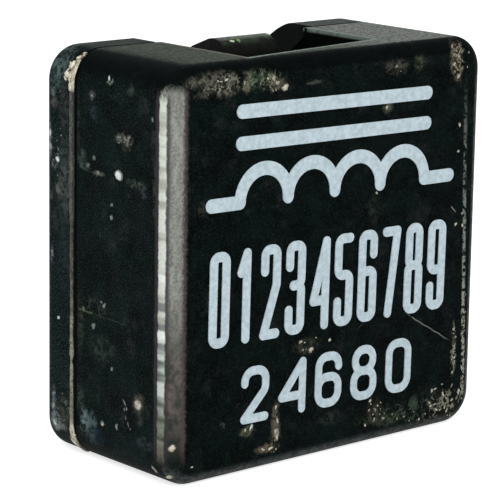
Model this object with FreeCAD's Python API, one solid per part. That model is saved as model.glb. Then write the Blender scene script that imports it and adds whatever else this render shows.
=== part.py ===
"""Shielded flat-wire power inductor for surface mounting, standing on one of its sides.

Seen from the front, X runs right along the marked face, Y runs back from the marked face
to the solder pads, and Z is up. The origin is at the middle of the foot of the whole part.
All sizes are in millimetres.
"""
import FreeCAD, Part
import math
import os
from FreeCAD import Vector

# Outside of the two cores
body_width = 12.8
body_height = 12.6
front_depth = 4.6
rear_thickness = 1.5
corner_radius = 1.05
edge_radius = 0.5
seam_edge_radius = 0.06

# Glue between the cores
seam_gap = 0.05
bond_inset = 0.08

# Window in the front core, where the winding sits round the post
front_wall = 1.3
side_wall = 1.0
end_wall = 0.9
post_air_gap = 0.3

# Notches in the front core, one at the top and one at the foot, for the wire ends
notch_width = 5.9
notch_offset = -0.15
lip_thickness = 0.5
mouth_depth = 1.1

# Notches in the rear core, with sloping flanks
rear_notch_width = 6.5
rear_notch_floor_width = 3.7
rear_notch_depth = 1.07

# Flat wire, wound on its edge
wire_width = 2.2
wire_thickness = 0.45
winding_side_gap = 0.25
post_side_gap = 0.2
winding_clearance = 0.05
least_turn_gap = 0.06
level_sweep = 15.0

# Wire ends, bent over the rear core to make the two solder pads
lead_offset = 0.3
elbow_inner_radius = 0.2
bend_inner_radius = 0.225
lead_below_top = 0.1
lead_above_floor = 0.02
pad_length = 2.3
pad_proud = 0.05
pad_clearance = 0.04

# Print on the marked face
ink_thickness = 0.03
print_tilt = -0.9
symbol_stroke = 0.42
symbol_above_middle = 2.05
symbol_side_margin = 1.5
hump_radius = 0.95
hump_count = 4
core_line_gap = 0.95
core_line_lift = 0.8
digits_text = "0123456789"
digits_height = 2.9
digits_side_margin = 1.9
digits_gap = 0.22
digits_counter = 0.18
digits_below_middle = 0.8
code_text = "24680"
code_height = 1.75
code_width = 1.1
code_pitch = 1.5
code_stroke = 0.27
code_below_middle = 3.88

# Places worked out from the sizes above
mid_height = body_height / 2
rear_start = front_depth + seam_gap
core_depth = rear_start + rear_thickness
whole_depth = ink_thickness + core_depth + pad_proud
centring = Vector(0, ink_thickness - whole_depth / 2, 0)
notch_left = notch_offset - notch_width / 2
notch_right = notch_offset + notch_width / 2
window_radius = min(body_width / 2 - side_wall, body_height / 2 - end_wall)
winding_outer_radius = window_radius - winding_side_gap
winding_inner_radius = winding_outer_radius - wire_width
winding_mid_radius = winding_outer_radius - wire_width / 2
post_radius = winding_inner_radius - post_side_gap
symbol_height = mid_height + symbol_above_middle
digits_pitch = (body_width - 2 * digits_side_margin) / (len(digits_text) - 1)
digits_width = digits_pitch - digits_gap
digits_stroke = (digits_width - digits_counter) / 2
winding_front = front_wall + winding_clearance
winding_rear = rear_start - winding_clearance - wire_thickness
rear_notch_floor = body_height - rear_notch_depth

# The strokes of each digit as runs of points. Each point is a share of the digit's width and
# height, from its left foot. A run that ends where it starts is a closed loop with round corners.
digit_shares = {
    "0": [[(0, 0), (1, 0), (1, 1), (0, 1), (0, 0)]],
    "1": [[(0.15, 0.78), (0.6, 1), (0.6, 0)]],
    "2": [[(0, 0.75), (0, 1), (1, 1), (1, 0.58), (0, 0)], [(0, 0), (1, 0)]],
    "3": [[(0, 0.76), (0, 1), (1, 1), (1, 0.53), (0.35, 0.53)],
          [(0.35, 0.53), (1, 0.53), (1, 0), (0, 0), (0, 0.24)]],
    "4": [[(1, 0), (1, 1), (0, 0.3), (1, 0.3)]],
    "5": [[(0.95, 1), (0, 1), (0, 0.56), (1, 0.56), (1, 0), (0, 0), (0, 0.24)]],
    "6": [[(0, 0.28), (0, 0.56), (1, 0.56), (1, 0), (0, 0), (0, 0.28)],
          [(0, 0.3), (0, 1), (1, 1), (1, 0.76)]],
    "7": [[(0, 1), (1, 1), (0.35, 0)]],
    "8": [[(0, 0), (1, 0), (1, 0.54), (0, 0.54), (0, 0)],
          [(0.05, 0.54), (0.95, 0.54), (0.95, 1), (0.05, 1), (0.05, 0.54)]],
    "9": [[(1, 0.72), (1, 0.44), (0, 0.44), (0, 1), (1, 1), (1, 0.72)],
          [(1, 0.7), (1, 0), (0, 0), (0, 0.24)]],
}
sharp_digits = "147"
digit_corner_share = 0.4

# How far a cutting body runs past what it cuts
overcut = 1.0


def rounded_block(width, height, radius, front, back):
    """Block between two depths whose four long edges are rounded."""
    block = Part.makeBox(width, back - front, height,
                         Vector(-width / 2, front, mid_height - height / 2))
    long_edges = [edge for edge in block.Edges if edge.BoundBox.YLength > (back - front) / 2]
    return block.makeFillet(radius, long_edges)


def round_rim(solid, depth, radius):
    """Round all edges of a block that lie in the plane at one depth."""
    tolerance = 1e-6
    rim = [edge for edge in solid.Edges
           if abs(edge.BoundBox.YMin - depth) < tolerance and abs(edge.BoundBox.YMax - depth) < tolerance]
    return solid.makeFillet(radius, rim)


def disc(radius, front, back):
    """Round bar along Y on the axis of the winding."""
    return Part.makeCylinder(radius, back - front, Vector(0, front, mid_height), Vector(0, 1, 0))


def prism(points, direction):
    """Solid with straight sides from a closed outline of points, pushed along a direction."""
    corners = [Vector(*point) for point in points]
    outline = Part.makePolygon(corners + corners[:1])
    return Part.Face(outline).extrude(Vector(*direction))


def top_and_foot(shape):
    """The shape as made for the top side, and its mirror image at the foot."""
    mirrored = shape.mirror(Vector(0, 0, mid_height), Vector(0, 0, 1))
    return [shape, mirrored]


def front_notch():
    """Notch in the top of the front core, open to the back and down into the window."""
    floor = mid_height + (post_radius + window_radius) / 2
    return Part.makeBox(notch_width, front_depth + overcut - front_wall, body_height + overcut - floor,
                        Vector(notch_left, front_wall, floor))


def lip_facet():
    """Corner cut from the lip of the top notch, which thins the lip towards the left."""
    near = Vector(notch_left, lip_thickness, body_height)
    far = Vector(notch_right, front_wall, body_height)
    low = Vector(notch_left, front_wall, body_height - mouth_depth)
    corner = Vector(notch_left, front_wall, body_height)
    triangles = [(near, far, low), (near, far, corner), (near, low, corner), (far, low, corner)]
    faces = [Part.Face(Part.makePolygon([*triangle, triangle[0]])) for triangle in triangles]
    return Part.makeSolid(Part.makeShell(faces))


def front_core():
    """Cup-shaped core: marked plate, two side legs and the round centre post."""
    block = rounded_block(body_width, body_height, corner_radius, 0, front_depth)
    block = round_rim(block, 0, edge_radius)
    block = round_rim(block, front_depth, seam_edge_radius)
    window = disc(window_radius, front_wall, front_depth + overcut)
    post = disc(post_radius, front_wall, front_depth - post_air_gap)
    return block.cut(window.cut(post)).cut(top_and_foot(front_notch()) + top_and_foot(lip_facet()))


def rear_notch():
    """Notch in the top of the rear core, wide at its mouth and narrow at its floor."""
    flank_run = (rear_notch_width - rear_notch_floor_width) / 2
    half_floor = rear_notch_floor_width / 2
    half_top = rear_notch_width / 2 + overcut * flank_run / rear_notch_depth
    front = rear_start - overcut
    top = body_height + overcut
    return prism([(-half_floor, front, rear_notch_floor), (half_floor, front, rear_notch_floor),
                  (half_top, front, top), (-half_top, front, top)],
                 (0, rear_thickness + 2 * overcut, 0))


def pad_recess():
    """Shallow seat in the back of the rear core for one folded wire end."""
    width = wire_width + 2 * pad_clearance
    depth = wire_thickness - pad_proud + pad_clearance
    foot = pad_end_height() - pad_clearance
    return Part.makeBox(width, depth + overcut, rear_notch_floor + overcut - foot,
                        Vector(lead_offset - width / 2, core_depth - depth, foot))


def rear_core():
    """Flat plate that closes the window, notched and recessed for the wire ends."""
    block = rounded_block(body_width, body_height, corner_radius, rear_start, core_depth)
    block = round_rim(block, core_depth, edge_radius)
    block = round_rim(block, rear_start, seam_edge_radius)
    return block.cut(top_and_foot(rear_notch())).cut(top_and_foot(pad_recess()))


def bond_line(side):
    """Film of glue on one side leg: -1 is the left leg and 1 is the right leg."""
    film = rounded_block(body_width - 2 * bond_inset, body_height - 2 * bond_inset,
                         corner_radius - bond_inset, front_depth, rear_start)
    front = front_depth - overcut
    back = rear_start + overcut
    film = film.cut(disc(window_radius + bond_inset, front, back))
    left = notch_left - bond_inset if side < 0 else notch_right + bond_inset - body_width
    beyond = Part.makeBox(body_width, back - front, body_height, Vector(left, front, 0))
    return film.cut([beyond] + top_and_foot(rear_notch()))


def bend_radius():
    """Radius of the middle of the wire in its flat bends."""
    return bend_inner_radius + wire_thickness / 2


def pad_middle_depth():
    return core_depth + pad_proud - wire_thickness / 2


def first_bend():
    """Centre of the bend that turns the rear wire end over the back of the winding."""
    return (winding_rear + wire_thickness / 2 + bend_radius(),
            body_height - lead_below_top - wire_thickness / 2 - bend_radius())


def last_bend():
    """Centre of the bend that folds a wire end down on to the rear core."""
    return (pad_middle_depth() - bend_radius(), rear_notch_floor + lead_above_floor)


def pad_end_height():
    return last_bend()[1] - pad_length


def elbow_centre():
    """Centre of the bend on edge that turns the wire out of its last turn, straight up."""
    radius = elbow_inner_radius + wire_width / 2
    across = lead_offset - radius
    reach = winding_mid_radius + radius
    return (across, mid_height + math.sqrt(reach ** 2 - across ** 2))


def elbow_angle():
    """How far before the very top the wire leaves its round path, in degrees."""
    across, up = elbow_centre()
    return math.degrees(math.atan2(-across, up - mid_height))


def ring_arcs(centre, radius, start, sweep, thickness):
    """Outer and inner arc of a flat part of a ring, each as three points (u, v) of its plane."""
    def at(distance, angle):
        turn = math.radians(angle)
        return (centre[0] + distance * math.cos(turn), centre[1] + distance * math.sin(turn))
    outer, inner = radius + thickness / 2, radius - thickness / 2
    return [[at(distance, start + sweep * share) for share in (0, 0.5, 1)] for distance in (outer, inner)]


def ring_face(arcs, place):
    """Face between an outer and an inner arc. place turns (u, v) into a point in space."""
    outer, inner = [[place(*point) for point in arc] for arc in arcs]
    edges = [Part.Arc(*outer).toShape(), Part.makeLine(outer[2], inner[2]),
             Part.Arc(*reversed(inner)).toShape(), Part.makeLine(inner[0], outer[0])]
    return Part.Face(Part.Wire(edges))


def strip_face(start, end, thickness, place):
    """Rectangle of the given thickness about the line from start to end."""
    length = math.dist(start, end)
    aside = (-(end[1] - start[1]) / length * thickness / 2, (end[0] - start[0]) / length * thickness / 2)
    corners = [(start[0] + aside[0], start[1] + aside[1]), (end[0] + aside[0], end[1] + aside[1]),
               (end[0] - aside[0], end[1] - aside[1]), (start[0] - aside[0], start[1] - aside[1])]
    points = [place(*corner) for corner in corners]
    return Part.Face(Part.makePolygon(points + points[:1]))


def band_faces(points, radius, thickness, place):
    """Faces of a band of constant thickness along points, with its corners rounded."""
    faces = []
    closed = points[0] == points[-1]
    corners = points[:-1] if closed else points
    count = len(corners)
    starts = list(corners)
    ends = list(corners)
    for index in range(count):
        if not closed and index in (0, count - 1):
            continue
        before, here, after = corners[index - 1], corners[index], corners[(index + 1) % count]
        arrive = math.atan2(here[1] - before[1], here[0] - before[0])
        leave = math.atan2(after[1] - here[1], after[0] - here[0])
        turn = (leave - arrive + math.pi) % (2 * math.pi) - math.pi
        if abs(turn) < 1e-6:
            continue
        cut_back = radius * math.tan(abs(turn) / 2)
        ends[index] = (here[0] - cut_back * math.cos(arrive), here[1] - cut_back * math.sin(arrive))
        starts[index] = (here[0] + cut_back * math.cos(leave), here[1] + cut_back * math.sin(leave))
        side = math.copysign(math.pi / 2, turn)
        centre = (ends[index][0] + radius * math.cos(arrive + side),
                  ends[index][1] + radius * math.sin(arrive + side))
        if radius > 0:
            arcs = ring_arcs(centre, radius, math.degrees(arrive - side), math.degrees(turn), thickness)
            faces.append(ring_face(arcs, place))
    for index in range(count if closed else count - 1):
        following = (index + 1) % count
        if math.dist(starts[index], ends[following]) > 1e-6:
            faces.append(strip_face(starts[index], ends[following], thickness, place))
    return faces


def level_turn(depth, end_angle):
    """Short level stretch of the last turn, ending where the elbow starts (angles from +X)."""
    centre = (0, mid_height)
    arcs = ring_arcs(centre, winding_mid_radius, end_angle + level_sweep, -level_sweep, wire_width)
    face = ring_face(arcs, lambda across, up: Vector(across, depth, up))
    return face.extrude(Vector(0, wire_thickness, 0))


def elbow(depth):
    """Bend on edge from the round path to straight up, at the top of the winding."""
    start = 270 - elbow_angle()
    arcs = ring_arcs(elbow_centre(), elbow_inner_radius + wire_width / 2, start, 360 - start, wire_width)
    face = ring_face(arcs, lambda across, up: Vector(across, depth, up))
    return face.extrude(Vector(0, wire_thickness, 0))


def lead(path):
    """Wire end bent along a path of (depth, height) points, as wide as the wire."""
    left = lead_offset - wire_width / 2
    faces = band_faces(path, bend_radius(), wire_thickness, lambda depth, up: Vector(left, depth, up))
    solids = [face.extrude(Vector(wire_width, 0, 0)) for face in faces]
    return solids[0].multiFuse(solids[1:]).removeSplitter()


def lead_paths():
    """Paths of the rear wire end and of the front wire end, both as if at the top."""
    radius = bend_radius()
    first, last = first_bend(), last_bend()
    fall = math.atan2(first[1] - last[1], last[0] - first[0])
    rear_depth = winding_rear + wire_thickness / 2
    front_level = winding_front + wire_thickness / 2
    start = elbow_centre()[1]
    run_height = body_height - lead_below_top - wire_thickness / 2
    first_corner = first[1] + radius * (math.cos(fall) + (1 + math.sin(fall)) * math.tan(fall))
    knee_depth = rear_depth + (first_corner - run_height) / math.tan(fall)
    fold = (pad_middle_depth(), first_corner - (pad_middle_depth() - rear_depth) * math.tan(fall))
    pad_end = (pad_middle_depth(), pad_end_height())
    rear_path = [(rear_depth, start), (rear_depth, first_corner), fold, pad_end]
    front_path = [(front_level, start), (front_level, run_height), (knee_depth, run_height), fold, pad_end]
    return rear_path, front_path


def helix(turns):
    """Sloping turns of the winding, from the front wire end at the foot to the rear one at the top."""
    rise = winding_rear - winding_front
    pitch = rise / turns
    spine = Part.makeHelix(pitch, rise, winding_mid_radius, 0, False)
    inner, outer = winding_inner_radius, winding_outer_radius
    section = Part.makePolygon([Vector(inner, 0, 0), Vector(outer, 0, 0), Vector(outer, 0, wire_thickness),
                                Vector(inner, 0, wire_thickness), Vector(inner, 0, 0)])
    sweep = Part.BRepOffsetAPI.MakePipeShell(Part.Wire(spine.Edges))
    sweep.setBiNormalMode(Vector(0, 0, 1))
    sweep.add(section)
    sweep.build()
    sweep.makeSolid()
    return sweep.shape()


def winding_turns():
    """Sloping turns that fit in the window: whole turns and a half, less the level stretches."""
    level = 2 * (level_sweep + elbow_angle()) / 360
    room = (winding_rear - winding_front) / (wire_thickness + least_turn_gap)
    whole = math.floor(room - 0.5 + level)
    return whole + 0.5 - level


def coil():
    """Flat wire wound on edge, with both ends bent over to the back: one piece of wire."""
    end_angle = 90 + elbow_angle()
    turns = winding_turns()
    coiled = helix(turns)
    coiled.rotate(Vector(0, 0, 0), Vector(1, 0, 0), -90)
    start_angle = -(end_angle + level_sweep)
    coiled.rotate(Vector(0, 0, 0), Vector(0, 1, 0), -start_angle)
    coiled.translate(Vector(0, winding_front, mid_height))
    rear_path, front_path = lead_paths()
    rear_parts = [level_turn(winding_rear, end_angle), elbow(winding_rear), lead(rear_path)]
    front_parts = [level_turn(winding_front, end_angle), elbow(winding_front), lead(front_path)]
    front_parts = [top_and_foot(piece)[1] for piece in front_parts]
    return coiled.multiFuse(rear_parts + front_parts).removeSplitter()


def printed(faces):
    """Ink from flat faces on the marked face, turned by the slight tilt of the print."""
    solids = [face.extrude(Vector(0, -ink_thickness, 0)) for face in faces]
    ink = solids[0].multiFuse(solids[1:]).removeSplitter() if len(solids) > 1 else solids[0]
    ink.rotate(Vector(0, 0, mid_height), Vector(0, 1, 0), -print_tilt)
    return ink


def on_face(across, up):
    return Vector(across, 0, up)


def dot_face(point, size):
    circle = Part.makeCircle(size / 2, on_face(*point), Vector(0, 1, 0))
    return Part.Face(Part.Wire([circle]))


def stroke_faces(points, radius, stroke):
    """Pen stroke with round ends. A corner too tight for the pen is sharp inside."""
    if radius <= stroke / 2:
        return band_faces(points, 0, stroke, on_face) + [dot_face(point, stroke) for point in points]
    ends = [] if points[0] == points[-1] else [points[0], points[-1]]
    return band_faces(points, radius, stroke, on_face) + [dot_face(point, stroke) for point in ends]


def text_row(text, middle, height, width, pitch, stroke):
    """Row of digits, each a separate solid, centred across the marked face."""
    glyphs = []
    for place, digit in enumerate(text):
        left = (place - (len(text) - 1) / 2) * pitch - (width - stroke) / 2
        foot = middle - (height - stroke) / 2
        faces = []
        for run in digit_shares[digit]:
            points = [(left + u * (width - stroke), foot + v * (height - stroke)) for u, v in run]
            radius = 0 if digit in sharp_digits else (width - stroke) * digit_corner_share
            faces += stroke_faces(points, radius, stroke)
        glyphs.append(printed(faces))
    return Part.makeCompound(glyphs)


def marking_symbol():
    """Drawing symbol of a coil with a core: a row of humps between two leads, under two lines."""
    half_span = hump_count * hump_radius
    faces = []
    for place in range(hump_count):
        centre = (-half_span + (2 * place + 1) * hump_radius, symbol_height)
        arcs = ring_arcs(centre, hump_radius, 0, 180, symbol_stroke)
        faces.append(ring_face(arcs, on_face))
        faces.append(dot_face((centre[0] - hump_radius, symbol_height), symbol_stroke))
    for side in (-1, 1):
        far_end = side * (body_width / 2 - symbol_side_margin)
        ends = [(side * half_span, symbol_height), (far_end, symbol_height)]
        faces += stroke_faces(ends, 0, symbol_stroke)
    solids = [printed(faces)]
    for line in range(2):
        height = symbol_height + hump_radius + core_line_lift + line * core_line_gap
        solids.append(printed(stroke_faces([(-half_span, height), (half_span, height)], 0, symbol_stroke)))
    return Part.makeCompound(solids)


def main():
    pieces = {
        "front_core": front_core(),
        "rear_core": rear_core(),
        "coil": coil(),
        "bond_left": bond_line(-1),
        "bond_right": bond_line(1),
        "marking_symbol": marking_symbol(),
        "marking_digits": text_row(digits_text, mid_height - digits_below_middle, digits_height,
                                   digits_width, digits_pitch, digits_stroke),
        "marking_code": text_row(code_text, mid_height - code_below_middle, code_height,
                                 code_width, code_pitch, code_stroke),
    }
    os.makedirs("parts", exist_ok=True)
    for name, shape in pieces.items():
        shape.translate(centring)
        shape.exportStep(f"parts/{name}.step")
        box = shape.optimalBoundingBox()
        print(f"{name:16} solids {len(shape.Solids):2} valid {shape.isValid()} volume {shape.Volume:8.3f}"
              f"  x {box.XMin:7.3f} {box.XMax:7.3f}  y {box.YMin:7.3f} {box.YMax:7.3f}"
              f"  z {box.ZMin:7.3f} {box.ZMax:7.3f}")


main()
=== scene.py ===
"""Looks of the shielded power inductor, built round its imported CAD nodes.

The frame is the part's own: X right along the marked face, Y back to the pads, Z up, origin
at the middle of the foot. Sizes here are in millimetres and become metres in the meshes.
"""
import bpy
import math
import random
from mathutils import Matrix, Vector, noise


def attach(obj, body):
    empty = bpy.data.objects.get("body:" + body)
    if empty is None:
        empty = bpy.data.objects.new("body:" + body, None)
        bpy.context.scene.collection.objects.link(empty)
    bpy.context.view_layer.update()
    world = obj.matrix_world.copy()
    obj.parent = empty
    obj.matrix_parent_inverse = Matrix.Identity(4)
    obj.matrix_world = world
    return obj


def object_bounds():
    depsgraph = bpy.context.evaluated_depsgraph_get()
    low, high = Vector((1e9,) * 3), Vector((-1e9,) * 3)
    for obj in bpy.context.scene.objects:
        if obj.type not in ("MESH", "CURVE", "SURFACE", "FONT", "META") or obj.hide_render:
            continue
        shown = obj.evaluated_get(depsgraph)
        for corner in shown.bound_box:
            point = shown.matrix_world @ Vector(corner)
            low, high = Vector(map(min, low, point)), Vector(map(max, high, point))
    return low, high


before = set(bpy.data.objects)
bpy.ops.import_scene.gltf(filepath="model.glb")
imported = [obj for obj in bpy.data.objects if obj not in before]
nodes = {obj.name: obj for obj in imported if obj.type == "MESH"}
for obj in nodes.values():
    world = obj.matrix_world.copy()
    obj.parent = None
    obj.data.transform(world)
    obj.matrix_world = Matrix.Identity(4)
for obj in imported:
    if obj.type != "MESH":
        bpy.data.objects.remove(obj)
cad_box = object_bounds()

MM = 0.001

# Sizes from the CAD source
front_depth, front_wall, lip_thickness = 4.6, 1.3, 0.5
corner_radius, edge_radius = 1.05, 0.5
notch_middle, notch_width = -0.15, 5.9
ink_thickness, pad_proud = 0.03, 0.05
pad_middle, pad_half_width = 0.3, 1.1

# Places on the part in millimetres, from those sizes and the corners of the CAD box
low_corner, high_corner = ([round(number / MM, 3) for number in corner] for corner in cad_box)
left_side, right_side = low_corner[0], high_corner[0]
marked_face = low_corner[1] + ink_thickness
front_core_back = marked_face + front_depth
rear_core_back = high_corner[1] - pad_proud
top = high_corner[2]
mid_height = top / 2
notch_left, notch_right = notch_middle - notch_width / 2, notch_middle + notch_width / 2
# The front wall is only a thin lip at the left end of the notch
rim_left, rim_right = marked_face + lip_thickness, marked_face + front_wall

# Ends of the painted shade in the hollow of the rear notch, from left to right
hollow_left, hollow_right = -3.5, 3.2

# Bare strip on the left side and grey band beside it, from the front corner
strip_start, strip_end = 0.24, 0.56
band_end = 0.7
# Speckled line beside the right edge of the marked face
line_start, line_end = 5.86, 6.0

# Wear on the left front edge: heights of its dull stretches and of its brightest drops
dull_stretches = [(5.48, 5.75), (4.9, 5.1), (4.28, 4.53), (3.53, 4.28)]
bare_drops = [6.42, 4.72, 2.53]

# How far a patch reaches into the material
patch_depth = 0.3

# Worn and stained patches of the front core: middle, radii, colour as screen levels, strength.
# On the marked face the middle is (x, z), and on the left side (y, z), each with radii to match.
rim_patches = [
    ((-4.85, -3.0, 12.1), (0.75, 0.6, 0.22), (92, 90, 80), 0.95),
    ((-4.35, -3.0, 11.86), (0.45, 0.6, 0.24), (86, 84, 74), 0.95),
    ((-5.2, -3.0, 11.75), (0.35, 0.6, 0.12), (58, 58, 48), 0.9),
    ((-3.55, -3.0, 11.92), (0.14, 0.6, 0.26), (92, 90, 78), 0.95),
    ((-3.0, -3.0, 12.0), (0.5, 0.6, 0.24), (64, 76, 60), 0.9),
    ((-2.58, -3.0, 11.86), (0.12, 0.6, 0.24), (106, 104, 90), 0.95),
    ((-2.2, -3.0, 11.8), (0.2, 0.6, 0.16), (94, 90, 78), 0.9),
    ((2.5, -3.0, 11.9), (0.42, 0.5, 0.22), (78, 76, 70), 0.9),
    ((3.5, -3.0, 11.95), (0.2, 0.5, 0.22), (82, 88, 66), 0.9),
    ((5.12, -3.0, 12.0), (0.22, 0.6, 0.4), (84, 80, 66), 0.9),
    ((5.22, -3.0, 11.45), (0.13, 0.6, 0.25), (96, 92, 74), 0.9),
    ((4.95, -3.0, 0.75), (0.85, 0.5, 0.42), (30, 32, 26), 0.85),
]
face_patches = [
    ((2.16, 10.75), (0.2, 0.22), (84, 92, 80), 0.9),
    ((-0.9, 11.72), (0.25, 0.06), (70, 72, 66), 0.9),
    ((1.7, 7.6), (0.2, 0.5), (38, 44, 38), 0.8),
    ((-5.2, 8.4), (0.3, 0.25), (44, 46, 42), 0.8),
    ((-2.2, 1.6), (0.14, 0.4), (100, 92, 82), 0.9),
    ((-2.18, 1.1), (0.2, 0.3), (96, 90, 78), 0.9),
    ((-2.5, 0.66), (0.42, 0.13), (104, 94, 78), 0.9),
    ((-3.35, 1.34), (0.26, 0.15), (96, 98, 80), 0.9),
    ((0.1, 1.15), (0.45, 0.2), (46, 52, 48), 0.8),
    ((-0.95, 3.62), (0.5, 0.22), (60, 62, 52), 0.8),
    ((1.95, 1.05), (0.35, 0.42), (56, 54, 44), 0.8),
    ((5.43, 2.5), (0.08, 0.7), (86, 83, 72), 0.7),
    ((3.7, 0.95), (0.14, 0.3), (60, 76, 66), 0.7),
    ((2.7, 0.7), (0.7, 0.18), (48, 54, 42), 0.8),
    ((-4.33, 1.73), (0.09, 0.07), (66, 70, 68), 0.9),
]
left_side_patches = [
    ((-1.5, 9.0), (0.45, 0.12), (66, 78, 70), 0.85),
    ((-1.88, 8.8), (0.16, 0.16), (62, 64, 72), 0.8),
    ((1.1, 9.45), (0.2, 0.22), (66, 76, 70), 0.85),
    ((0.95, 9.2), (0.24, 0.12), (68, 90, 80), 0.85),
    ((0.3, 9.05), (0.3, 0.07), (92, 96, 88), 0.85),
    ((1.28, 10.5), (0.08, 0.9), (44, 50, 46), 0.7),
    ((0.6, 11.35), (0.16, 0.13), (84, 84, 92), 0.85),
    ((0.55, 10.85), (0.2, 0.2), (46, 60, 62), 0.7),
    ((-1.22, 11.73), (0.18, 0.15), (54, 66, 62), 0.85),
    ((-1.9, 11.35), (0.3, 0.2), (42, 50, 46), 0.7),
    ((0.08, 3.73), (0.6, 0.36), (50, 60, 54), 0.8),
    ((1.15, 4.3), (0.14, 0.9), (58, 62, 54), 0.7),
    ((1.15, 1.9), (0.16, 0.4), (58, 68, 60), 0.8),
    ((0.92, 1.3), (0.2, 0.36), (104, 122, 122), 0.95),
    ((0.55, 1.2), (0.18, 0.42), (80, 98, 100), 0.9),
    ((0.2, 1.0), (0.3, 0.24), (26, 38, 50), 0.8),
    ((0.62, 0.75), (0.3, 0.2), (52, 66, 70), 0.8),
    ((-1.74, 2.0), (0.14, 0.24), (58, 64, 58), 0.85),
    ((-1.7, 2.42), (0.26, 0.28), (98, 91, 84), 0.85),
    ((-0.95, 10.26), (0.34, 0.16), (132, 130, 118), 0.95),
    ((-1.05, 10.05), (0.2, 0.1), (96, 94, 84), 0.9),
    ((-2.46, 4.9), (0.07, 0.5), (86, 76, 78), 0.8),
    ((-2.46, 3.5), (0.06, 0.6), (58, 54, 56), 0.8),
    ((-2.4, 8.9), (0.1, 0.8), (66, 70, 66), 0.8),
    ((-2.35, 10.4), (0.12, 0.9), (44, 50, 48), 0.8),
    ((-2.0, 1.25), (0.34, 0.16), (66, 74, 78), 0.8),
    ((-1.4, 0.95), (0.9, 0.3), (26, 34, 36), 0.7),
]

# The same for the rear core
rear_patches = [
    ((-6.2, 2.35, 12.0), (0.8, 0.4, 0.55), (84, 102, 100), 0.85),
    ((-5.4, 2.6, 12.5), (0.7, 0.3, 0.3), (84, 96, 94), 0.6),
    ((-2.6, 2.1, top), (0.7, 0.3, 0.3), (92, 104, 110), 0.8),
]
rear_left_patches = [
    ((1.95, 10.9), (0.25, 0.7), (62, 62, 64), 0.8),
    ((1.95, 9.4), (0.25, 0.5), (62, 70, 66), 0.8),
    ((1.9, 8.4), (0.36, 0.9), (72, 79, 73), 0.9),
    ((1.95, 6.6), (0.3, 1.2), (40, 48, 50), 0.7),
    ((2.52, 11.25), (0.13, 0.14), (112, 116, 114), 0.9),
    ((2.45, 10.9), (0.16, 0.16), (88, 86, 82), 0.8),
    ((2.7, 9.75), (0.1, 0.45), (168, 176, 182), 0.95),
    ((2.45, 9.0), (0.14, 0.12), (104, 110, 112), 0.9),
    ((2.3, 8.3), (0.13, 0.14), (96, 98, 94), 0.9),
    ((2.66, 8.05), (0.12, 0.12), (96, 102, 104), 0.8),
    ((2.25, 9.22), (0.2, 0.2), (66, 72, 76), 0.8),
    ((2.6, 6.2), (0.08, 0.3), (124, 132, 138), 0.8),
    ((2.5, 1.5), (0.1, 0.5), (140, 150, 150), 0.9),
    ((2.36, 0.95), (0.24, 0.26), (140, 148, 146), 0.95),
    ((2.02, 0.85), (0.16, 0.12), (124, 116, 116), 0.85),
    ((1.95, 1.4), (0.3, 0.42), (64, 68, 58), 0.9),
    ((1.87, 1.68), (0.08, 0.08), (118, 122, 112), 0.9),
]

# Patches of fine winding marks: middle, radii, colour
wormy_patches = [
    ((-4.6, -3.0, 11.98), (1.1, 0.6, 0.3), (108, 108, 96)),
    ((-3.0, -3.0, 11.98), (0.7, 0.6, 0.28), (96, 104, 84)),
    ((5.05, -3.0, 0.72), (0.85, 0.6, 0.45), (122, 122, 106)),
    ((5.43, marked_face, 2.5), (0.12, 0.3, 0.8), (126, 124, 108)),
    ((3.2, marked_face, 0.8), (1.6, 0.4, 0.32), (56, 68, 56)),
    ((5.18, -3.0, 11.95), (0.28, 0.6, 0.5), (132, 126, 106)),
    ((left_side, 0.5, 4.95), (0.3, 0.8, 0.25), (46, 56, 52)),
]

# Scratches: start, end, half width, colour, strength
scratches = [
    ((3.08, marked_face, 4.11), (5.3, marked_face, 2.78), 0.026, (110, 114, 107), 1.0),
    ((1.68, marked_face, 4.24), (1.1, marked_face, 3.78), 0.025, (44, 54, 48), 1.0),
    ((left_side, 1.3, 4.76), (left_side, 0.5, 4.74), 0.035, (96, 98, 78), 0.7),
    ((left_side, 0.6, 4.74), (left_side, -1.3, 4.7), 0.025, (50, 56, 52), 0.8),
    ((5.35, marked_face, 7.0), (5.1, marked_face, 7.25), 0.03, (120, 124, 112), 0.9),
]

# Painted highlights on the wire end in the notch, the last a dull one: middle, radii, colour
painted_glints = [
    ((-0.3, 1.42, 12.4), (0.06, 0.07, 0.3), (186, 206, 170)),
    ((-0.02, 1.42, 12.4), (0.06, 0.08, 0.3), (104, 134, 92)),
    ((-0.4, 0.3, 12.4), (0.06, 0.08, 0.2), (176, 182, 168)),
    ((1.1, 1.8, 12.4), (0.2, 0.3, 0.2), (70, 76, 60)),
]

# Flakes from this size up are round drops
big_flake = 0.14
# How far scattered flakes stay inside the outline of the part
flake_margin = 0.2
# How far flakes go round a rounded edge, as a share of its radius
steepest = 0.98

# The beads of glue: their middle, which is a little behind the seam, their ends as lengths along
# the outline, and their half width at heights from the foot to the top
bead_middle = 1.6
bead_start, bead_end = 0.5, 13.35
bead_widths = [
    (0.0, 0.1), (0.6, 0.12), (1.1, 0.08), (2.9, 0.06), (3.05, 0.02), (3.3, 0.1), (3.7, 0.06),
    (7.2, 0.075), (7.8, 0.13), (9.3, 0.15), (10.2, 0.12), (11.9, 0.12), (12.6, 0.05),
]

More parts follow.
